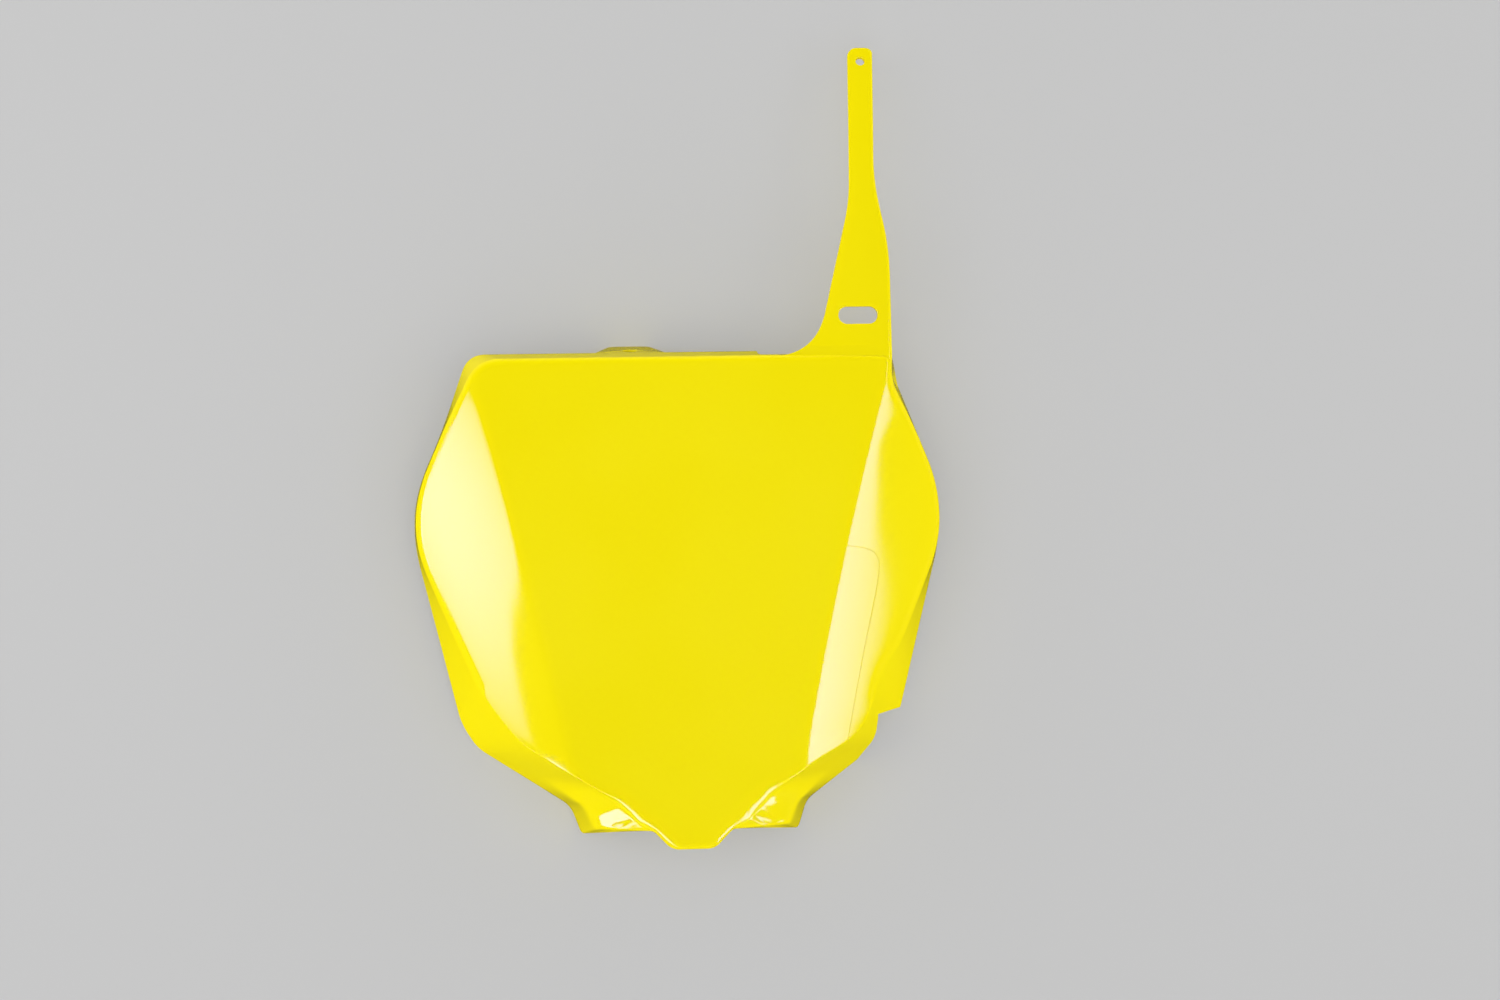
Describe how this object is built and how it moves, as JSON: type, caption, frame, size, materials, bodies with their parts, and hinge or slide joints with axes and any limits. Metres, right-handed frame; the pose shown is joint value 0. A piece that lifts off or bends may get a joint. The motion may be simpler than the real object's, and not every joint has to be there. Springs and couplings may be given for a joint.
{
  "type": "racing number board",
  "caption": "Plain yellow moulded front number board for an off-road racing motorbike, with a side strap, a screw tab and folded wings.",
  "frame": {"origin": "centre of the bounding box in plan, at the level of the rear edge", "axes": "+X towards the side with the strap, +Y up the board towards the end of the strap, +Z out of the face"},
  "size_m": [0.2542, 0.3844, 0.046],
  "materials": {
    "yellow_plastic": "gloss"
  },
  "bodies": {
    "root": {"number_board": "yellow_plastic"}
  },
  "joints": []
}
